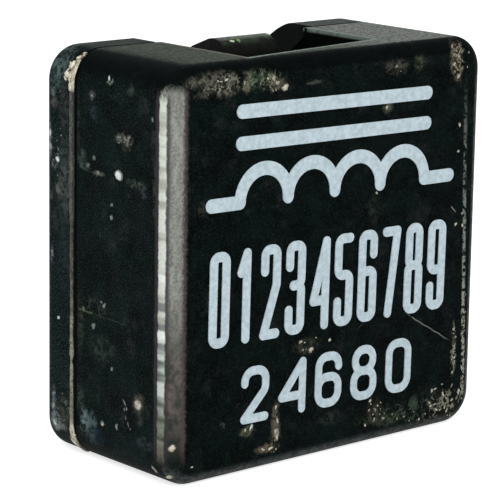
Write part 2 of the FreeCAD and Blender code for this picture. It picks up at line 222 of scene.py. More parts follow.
# Flakes on the marked face (x, z) and the left side (y, z): place, size, stretch, turn in degrees
pale_face_flakes = [
    (-2.07, 11.68, 0.12, 1.3, 20), (-2.38, 11.84, 0.08, 1.4, 140), (-2.52, 11.98, 0.08, 1.5, 100),
    (-3.65, 11.95, 0.05, 1.8, 80), (-4.35, 12.1, 0.05, 2.0, 20), (2.5, 11.92, 0.05, 1.4, 30),
    (4.97, 12.34, 0.05, 2.0, 60), (5.22, 12.03, 0.07, 1.4, 110), (5.05, 11.79, 0.04, 2.5, 50),
    (5.24, 11.4, 0.09, 1.2, 90), (5.12, 12.2, 0.035, 1.6, 130), (5.68, 12.1, 0.035, 1.4, 100),
    (5.4, 3.18, 0.055, 1.3, 90), (5.41, 3.03, 0.03, 1.2, 0), (5.45, 2.6, 0.03, 1.8, 90),
    (5.42, 2.42, 0.035, 2.0, 80), (5.47, 2.22, 0.05, 1.2, 100), (5.44, 2.02, 0.035, 1.6, 90),
    (5.4, 1.74, 0.055, 1.2, 60), (5.38, 2.3, 0.025, 1.4, 30),
    (4.5, 1.29, 0.055, 1.6, 90), (4.64, 1.32, 0.035, 3.0, 5), (4.95, 1.42, 0.04, 1.4, 0),
    (5.02, 1.06, 0.035, 4.0, 130), (5.16, 0.92, 0.035, 2.5, 125), (5.4, 1.3, 0.03, 3.0, 60),
    (4.47, 0.78, 0.06, 1.4, 30), (4.4, 0.9, 0.03, 3.0, 130), (4.62, 0.8, 0.03, 4.0, 10),
    (4.72, 0.62, 0.03, 3.5, 150), (4.9, 0.58, 0.03, 3.0, 20), (5.1, 0.62, 0.04, 2.0, 80),
    (5.2, 0.5, 0.035, 3.0, 60), (5.42, 0.82, 0.05, 1.6, 20), (5.72, 1.05, 0.05, 2.4, 80),
    (3.96, 0.43, 0.045, 1.5, 100), (2.35, 0.75, 0.05, 1.6, 160), (2.75, 0.81, 0.035, 1.3, 20),
    (2.97, 0.62, 0.035, 1.4, 70), (1.76, 1.42, 0.06, 1.3, 40), (2.1, 1.21, 0.045, 1.4, 100),
    (1.73, 1.12, 0.055, 1.1, 0), (2.0, 1.08, 0.05, 1.6, 80), (1.57, 0.66, 0.06, 1.0, 0),
    (1.96, 0.78, 0.05, 1.8, 70), (1.9, 0.95, 0.03, 1.4, 30), (2.2, 0.9, 0.03, 1.5, 120),
    (-2.17, 1.06, 0.13, 1.9, 95), (-2.13, 1.48, 0.065, 2.0, 100), (-2.2, 1.9, 0.05, 1.8, 80),
    (-2.4, 0.64, 0.06, 2.4, 10), (-2.7, 0.66, 0.05, 2.0, 160), (-3.42, 1.4, 0.06, 1.3, 60),
    (-0.81, 3.48, 0.09, 1.4, 15), (-0.03, 3.67, 0.06, 1.3, 60), (-1.23, 3.8, 0.06, 1.4, 30),
    (5.36, 9.84, 0.06, 1.6, 120), (5.34, 8.98, 0.05, 1.4, 20), (5.02, 8.16, 0.05, 1.8, 150),
    (5.33, 6.63, 0.06, 1.3, 60), (5.64, 6.55, 0.05, 1.5, 100), (5.6, 6.95, 0.04, 1.5, 30),
    (-6.18, 1.33, 0.12, 1.2, 50), (-6.1, 0.4, 0.1, 1.5, 40), (1.8, 8.05, 0.05, 1.4, 0),
    (2.14, 10.68, 0.06, 1.4, 60),
]
white_face_flakes = [(-3.18, 1.46, 0.065, 2.2, 60), (-5.48, 0.64, 0.035, 1.8, 10)]
pale_side_flakes = [
    (-1.7, 2.4, 0.2, 1.2, 0), (-2.3, 0.55, 0.09, 1.8, 120), (0.04, 1.4, 0.06, 1.5, 30),
]
white_side_flakes = [
    (-0.7, 9.15, 0.17, 1.2, 160), (2.28, 9.2, 0.1, 1.2, 0), (2.24, 4.28, 0.07, 1.1, 0),
    (-0.12, 11.95, 0.045, 2.2, 120), (2.66, 9.95, 0.045, 3.0, 90), (2.44, 0.9, 0.09, 1.4, 110),
]
grey_side_flakes = [
    (-0.7, 10.29, 0.05, 3.0, 10), (-0.98, 10.28, 0.07, 1.8, 150), (-1.16, 10.34, 0.05, 2.0, 30),
    (-1.1, 10.14, 0.06, 1.6, 100), (-0.3, 11.87, 0.04, 3.0, 95), (-0.2, 11.8, 0.04, 2.4, 170),
    (-1.02, 2.31, 0.04, 3.5, 129), (-1.12, 2.14, 0.045, 1.8, 80), (-1.01, 2.1, 0.035, 2.0, 95),
    (-1.08, 1.86, 0.03, 3.0, 95), (-1.2, 1.67, 0.035, 3.2, 112), (-1.3, 1.56, 0.025, 2.0, 60),
    (0.5, 4.37, 0.1, 1.2, 30),
    (-0.02, 5.1, 0.08, 1.5, 40), (0.12, 5.18, 0.05, 1.4, 140), (-0.35, 7.82, 0.09, 1.2, 50),
    (-0.37, 8.21, 0.07, 1.3, 10), (0.5, 9.5, 0.08, 1.3, 60), (0.3, 9.08, 0.08, 1.5, 0),
    (-0.4, 3.22, 0.06, 1.4, 60), (-0.64, 1.48, 0.09, 1.2, 70), (0.04, 1.44, 0.09, 1.1, 0),
    (0.78, 9.24, 0.07, 1.6, 30), (0.98, 4.8, 0.06, 1.8, 100), (2.0, 0.88, 0.1, 1.4, 20),
    (2.52, 11.25, 0.07, 1.5, 80), (-2.25, 11.0, 0.05, 2.0, 90), (0.6, 11.35, 0.06, 1.3, 20),
]
seam_lumps = [
    (1.63, 11.5, 0.1, 1.9, 90), (1.83, 11.83, 0.13, 1.2, 100), (1.66, 11.8, 0.09, 1.6, 90),
    (1.71, 12.1, 0.15, 1.3, 75), (1.64, 12.32, 0.1, 1.2, 50), (1.6, 12.44, 0.07, 1.3, 30),
    (1.6, 0.42, 0.11, 2.2, 115), (1.58, 0.14, 0.08, 2.0, 150),
]
# Clusters of small flakes on the left side: middle (y, z), spread (y, z), how many, size
lump_crumbs = [
    (1.78, 11.83, 0.08, 0.06, 12, 0.055), (1.72, 12.1, 0.07, 0.08, 14, 0.06),
    (1.64, 12.36, 0.04, 0.05, 8, 0.045), (1.62, 11.5, 0.04, 0.12, 8, 0.05),
    (1.58, 0.5, 0.04, 0.25, 8, 0.05),
]
scuff_crumbs = [
    (-0.98, 10.25, 0.15, 0.08, 12, 0.03), (2.15, 9.6, 0.3, 0.8, 12, 0.025),
    (2.2, 1.2, 0.25, 0.4, 12, 0.03), (-0.2, 11.85, 0.08, 0.06, 4, 0.025),
]
# The same on the marked face
face_crumbs = [
    (5.1, 0.75, 0.35, 0.25, 12, 0.022), (5.91, 2.0, 0.02, 0.8, 30, 0.024),
    (5.43, 2.5, 0.035, 0.4, 14, 0.024), (1.95, 0.95, 0.25, 0.25, 7, 0.022),
    (5.2, 11.95, 0.18, 0.25, 10, 0.025), (-2.5, 11.88, 0.18, 0.12, 12, 0.03),
    (-4.5, 12.0, 0.5, 0.15, 9, 0.022), (3.6, 0.5, 0.5, 0.12, 8, 0.022),
    (2.5, 11.9, 0.25, 0.12, 5, 0.022), (-2.2, 1.1, 0.08, 0.3, 8, 0.028),
    (-1.0, 3.7, 0.35, 0.15, 6, 0.022),
]


# Short names for shader nodes

def linear_colour(levels):
    """Colour for a shader, from three 0 to 255 screen levels."""
    linear = [((c / 255 + 0.055) / 1.055) ** 2.4 if c > 10 else c / 255 / 12.92 for c in levels]
    return (*linear, 1.0)


def empty_tree(owner):
    """Node tree of a material or a world, with nothing in it."""
    owner.use_nodes = True
    owner.node_tree.nodes.clear()
    return owner.node_tree


def add_node(tree, kind, inputs=None, **settings):
    """A shader node with its settings, and with a socket or a plain value for each input."""
    node = tree.nodes.new("ShaderNode" + kind)
    for name, value in settings.items():
        setattr(node, name, value)
    for name, value in (inputs or {}).items():
        if isinstance(value, bpy.types.NodeSocket):
            tree.links.new(value, node.inputs[name])
        else:
            node.inputs[name].default_value = value
    return node


class Shader:
    """One procedural material.

    Values are sockets or plain numbers, colours are sockets or three screen levels, and places
    are in millimetres.
    """

    def __init__(self, name):
        self.material = bpy.data.materials.new(name)
        self.tree = empty_tree(self.material)
        coordinates = self.node("TexCoord")
        self.place = self.vector("SCALE", coordinates.outputs["Object"], scale=1 / MM)
        self.x, self.y, self.z = self.split(self.place)
        self.normal_x, self.normal_y, self.normal_z = self.split(coordinates.outputs["Normal"])

    def node(self, kind, inputs=None, **settings):
        return add_node(self.tree, kind, inputs, **settings)

    def split(self, vector):
        node = self.node("SeparateXYZ", {0: vector})
        return node.outputs[0], node.outputs[1], node.outputs[2]

    def vector(self, operation, a, b=(0, 0, 0), scale=None):
        second = {1: b} if scale is None else {"Scale": scale}
        node = self.node("VectorMath", {0: a, **second}, operation=operation)
        gives_number = operation in ("LENGTH", "DOT_PRODUCT")
        return node.outputs["Value" if gives_number else "Vector"]

    def math(self, operation, a, b=0.0):
        return self.node("Math", {0: a, 1: b}, operation=operation).outputs[0]

    def add(self, a, b):
        return self.math("ADD", a, b)

    def unsigned(self, value):
        return self.math("ABSOLUTE", value)

    def times(self, *values):
        result = values[0]
        for value in values[1:]:
            result = self.math("MULTIPLY", result, value)
        return result

    def most(self, a, b):
        return self.math("MAXIMUM", a, b)

    def away(self, value, middle):
        """How far a value is from a middle one, on either side."""
        return self.unsigned(self.add(value, -middle))

    def rise(self, value, low, high):
        """0 up to low, 1 from high, smooth between. With low above high it falls instead."""
        falls = low >= high
        inputs = {"Value": value, "From Min": min(low, high), "From Max": max(low, high),
                  "To Min": float(falls), "To Max": float(not falls)}
        return self.node("MapRange", inputs, interpolation_type="SMOOTHSTEP").outputs["Result"]

    def between(self, value, low, high, soft):
        """1 between low and high, with soft edges."""
        above_low = self.rise(value, low - soft, low + soft)
        return self.times(above_low, self.rise(value, high + soft, high - soft))

    def span(self, value, low, high):
        """A share from 0 to 1 turned into a number from low to high."""
        return self.add(self.math("MULTIPLY", value, high - low), low)

    def share_of(self, name):
        """A share stored with the points of the mesh."""
        return self.node("Attribute", attribute_name=name).outputs["Fac"]

    def noise(self, scale, detail=3.0, roughness=0.55, stretch=(1, 1, 1), shift=0.0):
        """Cloudy value from 0 to 1. scale is in features to the millimetre."""
        spot = self.vector("MULTIPLY", self.place, stretch)
        if shift:
            spot = self.vector("ADD", spot, (shift, 1.7 * shift, 2.3 * shift))
        inputs = {"Vector": spot, "Scale": scale, "Detail": detail, "Roughness": roughness}
        return self.node("TexNoise", inputs).outputs["Fac"]

    def wobbled(self, scale, amount):
        """The place, moved about by noise, so that patches get ragged edges."""
        node = self.node("TexNoise", {"Vector": self.place, "Scale": scale, "Detail": 3.0})
        off = self.vector("SUBTRACT", node.outputs["Color"], (0.5, 0.5, 0.5))
        return self.vector("ADD", self.place, self.vector("SCALE", off, scale=2 * amount))

    def cells(self, scale, vector):
        """Small cells, each with a random colour and the distance from its own point."""
        return self.node("TexVoronoi", {"Vector": vector or self.place, "Scale": scale})

    def specks(self, scale, share, size, vector=None):
        """Scattered dots: share of the cells have one, and size is in cells."""
        node = self.cells(scale, vector)
        chance, bigness, _ = self.split(node.outputs["Color"])
        chosen = self.rise(chance, share + 0.01, share - 0.01)
        radius = self.add(self.math("MULTIPLY", bigness, 0.7 * size), 0.3 * size)
        inside = self.math("SUBTRACT", radius, node.outputs["Distance"])
        return self.times(chosen, self.rise(inside, 0.0, 0.35 * size))

    def chips(self, scale, vector=None):
        """A random share for each small cell, for crumbly marks."""
        return self.split(self.cells(scale, vector).outputs["Color"])[0]

    def patch(self, centre, radii, vector=None, soft=0.35):
        """1 inside an ellipsoid at a named place, fading at its edge."""
        off = self.vector("SUBTRACT", vector or self.place, centre)
        share = self.vector("LENGTH", self.vector("DIVIDE", off, radii))
        return self.rise(share, 1 + soft, 1 - soft)

    def line(self, start, end, width, vector):
        """1 on a thin straight mark from start to end, tapering off at both ends."""
        start, end = Vector(start), Vector(end)
        along = (end - start).normalized()
        off = self.vector("SUBTRACT", vector, start)
        run = self.vector("DOT_PRODUCT", off, along)
        on_line = self.vector("SCALE", along, scale=run)
        across = self.vector("LENGTH", self.vector("SUBTRACT", off, on_line))
        length = (end - start).length
        ends = self.times(self.rise(run, 0, 0.2 * length), self.rise(run, length, 0.8 * length))
        return self.times(ends, self.rise(across, width, 0.3 * width))

    def blend(self, share, a, b):
        """Colour a where share is 0 and b where it is 1."""
        a, b = (end if isinstance(end, bpy.types.NodeSocket) else linear_colour(end)
                for end in (a, b))
        inputs = {"Factor": share, "A": a, "B": b}
        return self.node("Mix", inputs, data_type="RGBA").outputs["Result"]

    def bump(self, height, depth):
        """Surface relief: height from 0 to 1 stands for depth in millimetres."""
        return self.node("Bump", {"Distance": depth * MM, "Height": height}).outputs["Normal"]

    def finish(self, colour, roughness, normal, gloss, metallic=0.0):
        """The finished material."""
        surface = self.node("BsdfPrincipled", {
            "Base Color": colour, "Roughness": roughness, "Normal": normal,
            "Specular IOR Level": gloss, "Metallic": metallic})
        self.node("OutputMaterial", {"Surface": surface.outputs[0]})
        return self.material


# Materials

def grey_band(s, colour, into_side, into_face, fine):
    """Grey band on the worn edge, partly a painted sheen, with a brownish painted shadow round the
    bare strip.
    """
    ragged = s.add(into_face, s.span(s.noise(9.0, 4.0, 0.8, shift=7.0), -0.16, 0.16))
    streaks = s.noise(5.0, 4.0, 0.75, stretch=(1, 1, 0.25), shift=1.0)
    streaky = s.rise(s.add(fine, streaks), 0.75, 1.25)
    # Grey of the band: wear, and partly a painted sheen on the rounded edge
    grey_wear_and_sheen = s.blend(streaky, (106, 106, 100), (148, 151, 144))
    blotch = s.rise(s.noise(1.6, 4.0, 0.7, shift=8.0), 0.42, 0.6)
    lower_band_colour = s.blend(blotch, (52, 60, 50), (98, 90, 88))
    grey_wear_and_sheen = s.blend(s.rise(s.z, 6.6, 3.4), grey_wear_and_sheen, lower_band_colour)
    grey_wear_and_sheen = s.blend(s.times(s.rise(s.z, 3.0, 0.9), 0.9), grey_wear_and_sheen, (34, 40, 33))
    grey_wear_and_sheen = s.blend(s.rise(ragged, 0.42, 0.56), grey_wear_and_sheen, (74, 66, 66))
    reach = s.times(s.rise(ragged, band_end, band_end - 0.14), s.rise(into_side, 0.5, 0.4),
                    s.rise(s.z, 0.6, 1.4), s.rise(s.add(s.z, s.times(fine, 0.5)), 12.35, 12.0))
    colour = s.blend(reach, colour, grey_wear_and_sheen)
    # Painted shadow: brownish dark round the bare strip
    shadow = s.times(s.between(into_side, strip_start - 0.07, strip_end + 0.12, 0.05),
                     s.rise(into_face, 0.6, 0.4), s.rise(s.z, 0.6, 1.4), s.rise(s.z, 12.0, 11.6))
    return s.blend(s.times(shadow, 0.8), colour, (58, 52, 57))


def bare_strip(s, into_side, into_face, fine):
    """Colour of the strip that is worn bare, and its share: 1 on the strip."""
    blocks = s.noise(3.0, 1.5, 0.6, stretch=(0.15, 0.15, 1), shift=6.0)
    bare = s.blend(s.rise(blocks, 0.34, 0.56), (164, 168, 156), (210, 214, 204))
    for low, high in dull_stretches:
        dull = s.times(s.between(s.add(s.z, s.times(fine, 0.1)), low, high, 0.06), 0.9)
        bare = s.blend(dull, bare, (112, 116, 114))
    for height in bare_drops:
        drop = s.between(s.z, height - 0.12, height + 0.12, 0.05)
        bare = s.blend(drop, bare, (228, 232, 226))
    lower_bare = s.blend(s.rise(blocks, 0.3, 0.6), (82, 94, 84), (194, 204, 196))
    bare = s.blend(s.rise(s.z, 4.4, 4.0), bare, lower_bare)
    mossy = s.blend(s.rise(blocks, 0.35, 0.6), (52, 66, 48), (124, 130, 114))
    bare = s.blend(s.rise(s.add(s.z, s.times(fine, 0.3)), 2.6, 2.3), bare, mossy)
    bare = s.blend(s.rise(s.z, 1.6, 1.2), bare, (96, 94, 84))
    bare = s.blend(s.times(s.rise(fine, 0.5, 0.75), 0.35), bare, (120, 116, 110))
    upper_edge = s.add(into_side, s.span(s.noise(3.4, 2.0, shift=2.0), -0.06, 0.06))
    lower_edge = s.add(into_side, s.span(s.noise(4.0, 2.0, shift=5.0), -0.05, 0.05))
    strip = s.times(s.rise(lower_edge, strip_start, strip_start + 0.05),
                    s.rise(upper_edge, strip_end, strip_end - 0.05), s.rise(into_face, 0.5, 0.3),
                    s.rise(s.add(s.z, s.times(fine, 0.5)), 0.95, 1.4),
                    s.rise(s.add(s.z, s.times(fine, 0.6)), 12.2, 11.95))
    return bare, strip


def edge_wear_and_sheen(s, colour):
    """Worn edge between the left side and the marked face: a bare strip, then a grey band that is
    partly a painted sheen.
    """
    into_side = s.add(s.y, -marked_face)
    into_face = s.add(s.x, -left_side)
    fine = s.noise(14.0, 3.0, 0.75, shift=3.0)
    colour = grey_band(s, colour, into_side, into_face, fine)
    bare, strip = bare_strip(s, into_side, into_face, fine)
    return s.blend(strip, colour, bare), strip


def on_side_or_corner(s):
    """1 on the left side and on its rounded corners, away from the marked face and the top."""
    leftward = s.rise(s.times(s.normal_x, -1.0), 0.15, 0.4)
    return s.times(leftward, s.rise(s.normal_y, -0.4, -0.1))


def ferrite_ground(s, behind):
    """Black sintered ferrite with a green cast, fine pale grain, smudges and dots."""
    on_side = s.rise(s.unsigned(s.normal_x), 0.75, 0.97)
    cloud = s.noise(1.0, 5.0, 0.65)
    grain = s.noise(20.0, 3.0, 0.85)
    colour = s.blend(s.rise(cloud, 0.4, 0.62), (1, 4, 4), (7, 17, 16))
    green = s.rise(s.noise(1.5, 4.0, 0.7, shift=4.0), 0.5, 0.68)
    colour = s.blend(s.times(green, 0.6), colour, (12, 27, 22))
    hazy = s.rise(s.noise(0.8, 3.0, shift=13.0), 0.45, 0.6)
    pale = s.blend(hazy, (70, 98, 91), (86, 92, 94))
    if behind:
        pale = s.blend(0.5, pale, (96, 130, 134))
    share = s.times(s.rise(grain, 0.48, 0.84), s.span(on_side, 0.4, 0.95 if behind else 0.6))
    colour = s.blend(share, colour, pale)
    cloudy = s.noise(1.2, 5.0, 0.75, shift=21.0)
    smudge = s.times(s.rise(cloudy, 0.52, 0.7), s.rise(grain, 0.35, 0.6))
    smudge_share = 0.8 if behind else s.span(s.rise(s.normal_x, 0.5, 0.8), 0.45, 0.8)
    colour = s.blend(s.times(smudge, smudge_share), colour, (62, 64, 64))
    dots = s.specks(2.2, 0.1, 0.1, vector=s.wobbled(20.0, 0.04))
    return s.blend(s.times(dots, 0.6), colour, (104, 110, 102)), grain


def darker_places(s, colour):
    """Darker colour on the top of the left side and on the flat marked face, and painted shade on
    the up-tilted rim above it.
    """
    upper_left = s.times(s.rise(s.z, 11.6, 12.2), on_side_or_corner(s))
    colour = s.blend(s.times(upper_left, 0.8), colour, (1, 4, 4))
    facing_front = s.times(s.normal_y, -1.0)
    colour = s.blend(s.times(s.rise(facing_front, 0.95, 0.99), 0.4), colour, (2, 4, 4))
    # Painted shade on the rounded rim above the marked face, where it tilts up towards the lamp
    painted_rim_shade = s.times(s.between(s.normal_z, 0.12, 0.9, 0.08), s.rise(facing_front, 0.1, 0.3))
    return s.blend(s.times(painted_rim_shade, 0.78), colour, (3, 5, 5))


def rubbed_rims_and_sheen(s, colour, grain):
    """Chafed edge at the back, and rubbed rims at the foot and the right of the marked face, the
    right one partly a painted sheen.
    """
    forward = s.rise(s.times(s.normal_y, -1.0), 0.1, 0.3)
    foot_rim = s.times(s.rise(s.times(s.normal_z, -1.0), 0.1, 0.7), 0.7)
    # The right rim's pale grey is partly a painted sheen on the rounded right edge
    right_rim_wear_and_sheen = s.times(s.rise(s.normal_x, 0.12, 0.5), s.rise(s.z, 12.0, 10.5))
    back_edge = s.between(s.normal_y, 0.25, 0.9, 0.12)
    chafing = s.add(s.times(s.noise(1.3, 5.0, 0.85, shift=31.0), 0.8), s.times(grain, 0.2))
    chafed = s.times(back_edge, s.rise(chafing, 0.5, 0.6))
    colour = s.blend(s.times(chafed, 0.65), colour, (100, 106, 103))
    rim_patchiness = s.span(s.rise(s.noise(6.0, 5.0, 0.85, shift=27.0), 0.42, 0.6), 0.3, 1.0)
    rim = s.times(s.most(foot_rim, right_rim_wear_and_sheen), forward, rim_patchiness)
    return s.blend(s.times(rim, 0.85), colour, (114, 116, 116))


def pressed_faces(s, colour, behind):
    """The pressed faces at the top and the foot are coarser and paler, most of all at the right;
    the paleness is partly a painted sheen.
    """
    coarse = s.noise(7.0, 5.0, 0.95, shift=9.0)
    far_right = s.rise(s.x, -1.5, 3.8)
    dark_sand = s.blend(far_right, (10, 16, 12), (34, 38, 36))
    # Paler sand on the flat faces, partly a painted sheen
    pale_sand_and_sheen = s.blend(far_right, (86, 94, 84), (150, 154, 147))
    sand_and_sheen = s.blend(s.rise(coarse, 0.36, 0.66), dark_sand, pale_sand_and_sheen)
    if behind:
        sand_and_sheen = s.blend(0.7, sand_and_sheen, (26, 35, 33))
    level = s.rise(s.unsigned(s.normal_z), 0.965, 0.999)
    left_end = s.add(s.x, s.span(s.noise(3.0, 4.0, 0.8, shift=19.0), -1.0, 1.0))
    level = s.times(level, s.span(s.rise(left_end, -6.0, -4.6), 0.25, 1.0))
    return s.blend(level, colour, sand_and_sheen), coarse


def on_face(patches):
    """Patches of the marked face with their places and radii in full."""
    return [((x, marked_face, z), (wide, patch_depth, high), level, strength)
            for (x, z), (wide, high), level, strength in patches]


def on_left(patches):
    """Patches of the left side with their places and radii in full."""
    return [((left_side, y, z), (patch_depth, wide, high), level, strength)
            for (y, z), (wide, high), level, strength in patches]


def placed_patches(s, colour, grain, patches):
    """Worn and stained patches where the photograph shows them."""
    ragged = s.wobbled(6.0, 0.13)
    chunks = s.chips(7.0, s.wobbled(9.0, 0.09))
    fine = s.add(s.times(grain, 0.4), s.times(s.noise(8.0, 4.0, 0.85, shift=25.0), 0.6))
    mottle = s.rise(s.add(s.times(chunks, 0.22), s.times(fine, 0.78)), 0.4, 0.6)
    mottle = s.span(mottle, 0.08, 1.0)
    for centre, radii, level, strength in patches:
        spot = s.times(s.patch(centre, radii, ragged, 0.5), strength, mottle)
        colour = s.blend(spot, colour, level)
    return colour


def placed_marks(s, colour):
    """Winding marks and scratches where the photograph shows them."""
    ridges = s.away(s.noise(3.6, 2.0, 0.6, shift=14.0), 0.5)
    clumps = s.add(s.noise(2.6, 3.0, 0.7, shift=16.0), s.times(s.chips(9.0), 0.12))
    worms = s.times(s.rise(ridges, 0.06, 0.02), s.rise(clumps, 0.49, 0.6))
    for centre, radii, level in wormy_patches:
        spot = s.times(s.patch(centre, radii, soft=0.5), worms)
        colour = s.blend(spot, colour, level)
    for start, end, width, level, strength in scratches:
        mark = s.times(s.line(start, end, width, s.wobbled(3.0, 0.04)), strength)
        colour = s.blend(mark, colour, level)
    return colour


def right_edge_line(s, colour):
    """Speckled line where the marked face meets the rounded right edge."""
    crumbs = s.add(s.times(s.noise(6.0, 4.0, 0.85, shift=17.0), 0.8), s.times(s.chips(9.0), 0.2))
    speckle = s.rise(crumbs, 0.44, 0.54)
    sway = s.span(s.noise(2.0, 2.0, shift=3.0), -0.05, 0.05)
    middle = s.add(s.x, s.add(s.times(s.z, 0.03), sway))
    line = s.times(s.between(middle, line_start, line_end, 0.03), speckle, s.rise(s.y, -2.85, -3.0),
                   s.rise(s.z, 0.7, 1.2), s.rise(s.z, 11.6, 9.0))
    pale = s.blend(s.rise(s.z, 5.5, 3.0), (134, 138, 128), (156, 154, 138))
    return s.blend(s.times(line, s.span(s.rise(s.z, 9.5, 5.0), 0.45, 0.95)), colour, pale)


def notch_edges(s, colour):
    """Painted shade, near black, inside the notch, with a pale line along its left, front and right
    rims that is a painted highlight on worn edges.
    """
    slope = (rim_right - rim_left) / (notch_right - notch_left)
    along = s.times(s.add(s.x, -notch_left), slope)
    behind_rim = s.add(s.add(s.y, -rim_left), s.times(along, -1.0))
    steep = s.rise(s.unsigned(s.normal_z), 0.8, 0.5)
    # Painted shade: the steep walls inside the notch are near black
    inside = s.times(s.between(s.x, notch_left - 0.05, notch_right + 0.05, 0.02),
                     s.rise(behind_rim, -0.02, 0.02), s.rise(s.z, 10.6, 11.0), steep)
    colour = s.blend(inside, colour, (3, 5, 4))
    level = s.rise(s.z, 12.45, 12.55)
    notch_rim_breakup = s.rise(s.noise(7.0, 4.0, 0.8, shift=23.0), 0.3, 0.55)
    across = s.times(s.rise(s.x, notch_left - 0.3, notch_left + 0.2),
                     s.rise(s.x, notch_right + 0.1, notch_right))
    front = s.times(s.between(behind_rim, -0.13, 0.02, 0.03), level, across)
    right = s.times(s.between(s.x, notch_right - 0.02, notch_right + 0.12, 0.03),
                    s.rise(s.y, rim_right - 0.1, rim_right), level)
    left = s.times(s.between(s.x, notch_left - 0.14, notch_left + 0.02, 0.03),
                   s.rise(s.y, rim_left - 0.1, rim_left), level)
    # Painted highlights on the worn left, front and right rims of the notch
    colour = s.blend(s.times(left, s.span(notch_rim_breakup, 0.4, 0.9)), colour, (112, 106, 100))
    rim_highlight_and_wear = s.times(s.most(front, right), s.span(notch_rim_breakup, 0.3, 0.85))
    return s.blend(rim_highlight_and_wear, colour, (132, 146, 136))


def ferrite(name, behind):
    """Ferrite of the front core or, behind, of the rear core."""
    s = Shader(name)
    colour, grain = ferrite_ground(s, behind)
    colour = darker_places(s, colour)
    colour = rubbed_rims_and_sheen(s, colour, grain)
    colour, coarse = pressed_faces(s, colour, behind)
    relief = s.add(s.times(grain, 0.3), s.times(coarse, 0.7))
    if behind:
        colour = placed_patches(s, colour, grain, rear_patches + on_left(rear_left_patches))
        # Painted shade on the steep walls in the hollow of the rear notch
        not_level = s.rise(s.unsigned(s.normal_z), 0.995, 0.96)
        notch_shade = s.times(s.between(s.x, hollow_left, hollow_right, 0.05),
                         s.rise(s.z, 11.4, 11.5), not_level)
        colour = s.blend(notch_shade, colour, (4, 5, 5))
    else:
        patches = rim_patches + on_face(face_patches) + on_left(left_side_patches)
        colour = placed_patches(s, colour, grain, patches)
        colour = placed_marks(s, colour)
        colour = right_edge_line(s, colour)
        colour = notch_edges(s, colour)
        # Painted shade in the groove before the seam, on the left side
        groove_shade = s.between(s.y, front_core_back - 0.185, front_core_back - 0.055, 0.02)
        on_side = s.rise(s.times(s.normal_x, -1.0), 0.5, 0.9)
        colour = s.blend(s.times(groove_shade, on_side), colour, (2, 3, 3))
        colour, strip = edge_wear_and_sheen(s, colour)
        relief = s.add(relief, s.times(strip, 2.0))
    roughness = s.span(s.noise(3.0, 3.0, shift=12.0), 0.42, 0.62)
    return s.finish(colour, roughness, s.bump(relief, 0.02), gloss=0.01)


def printed_ink():
    """Pale blue-white ink, slightly uneven, with pinholes."""
    s = Shader("pale_ink")
    cover = s.noise(6.0, 4.0, 0.65)
    colour = s.blend(s.rise(cover, 0.3, 0.7), (168, 184, 190), (194, 208, 215))
    holes = s.specks(4.0, 0.04, 0.16)
    colour = s.blend(s.times(holes, 0.6), colour, (120, 128, 136))
    return s.finish(colour, 0.6, s.bump(s.noise(18.0, 3.0), 0.006), gloss=0.3)


def fluxed_enamel_and_glints(s, mossy):
    """Black enamel under green-black flux, with a painted highlight along the top edge and painted
    glints on the wire end in the top notch.
    """
    enamel = s.blend(s.noise(4.0, 3.0), (3, 3, 3), (9, 8, 7))
    terminal_top = s.times(s.rise(s.z, 12.25, 12.46), s.rise(s.x, -0.8, -0.7))
    moss = s.blend(s.rise(mossy, 0.4, 0.62), (6, 10, 7), (44, 60, 44))
    moss_share = s.times(s.rise(mossy, 0.34, 0.5), s.span(terminal_top, 0.08, 1.0))
    enamel = s.blend(moss_share, enamel, moss)
    # Painted highlight along the top edge of the wire end
    top_edge_highlight = s.times(s.rise(s.z, 12.42, 12.49), s.rise(s.noise(6.0, 4.0, 0.8, shift=2.0), 0.35, 0.6))
    enamel = s.blend(s.times(top_edge_highlight, terminal_top, 0.7), enamel, (112, 122, 108))
    # Painted glints on the wire end
    for centre, radii, level in painted_glints:
        enamel = s.blend(s.patch(centre, radii, s.wobbled(9.0, 0.1)), enamel, level)
    return enamel


def pad_tin(s, streaks, mossy, edge):
    """Tin with upright streaks, dull spots, pits and a dark rim, and flux where it ends."""
    tin = s.blend(s.rise(streaks, 0.3, 0.7), (112, 113, 110), (196, 198, 194))
    dull = s.rise(s.noise(1.6, 4.0, 0.7, shift=3.0), 0.48, 0.62)
    tin = s.blend(s.times(dull, 0.6), tin, (118, 114, 106))
    ragged_x = s.add(s.away(s.x, pad_middle), s.times(mossy, 0.3))
    rim = s.rise(ragged_x, pad_half_width - 0.02, pad_half_width + 0.15)
    tin = s.blend(s.times(rim, 0.6), tin, (84, 76, 64))
    pits = s.specks(5.0, 0.16, 0.14, vector=s.wobbled(9.0, 0.05))
    tin = s.blend(s.times(pits, 0.6), tin, (72, 66, 58))
    flux_edge = s.rise(edge, rear_core_back - 0.02, rear_core_back - 0.16)
    return s.blend(flux_edge, tin, (92, 78, 60))


def wire_and_tin():
    """Flat enamelled wire, with tin on its folded pads."""
    s = Shader("wire_and_tin")
    edge = s.add(s.y, s.span(s.noise(2.0, 3.0), -0.2, 0.2))
    tinned = s.rise(edge, rear_core_back - 0.32, rear_core_back - 0.17)
    mossy = s.noise(3.2, 5.0, 0.8, shift=5.0)
    streaks = s.noise(7.0, 5.0, 0.75, stretch=(1, 1, 0.14), shift=8.0)
    colour = s.blend(tinned, fluxed_enamel_and_glints(s, mossy), pad_tin(s, streaks, mossy, edge))
    roughness = s.span(streaks, 0.25, 0.5)
    normal = s.bump(s.add(s.noise(1.5, 3.0), s.times(streaks, 0.25)), 0.04)
    return s.finish(colour, roughness, normal, metallic=s.times(tinned, 0.95), gloss=0.04)


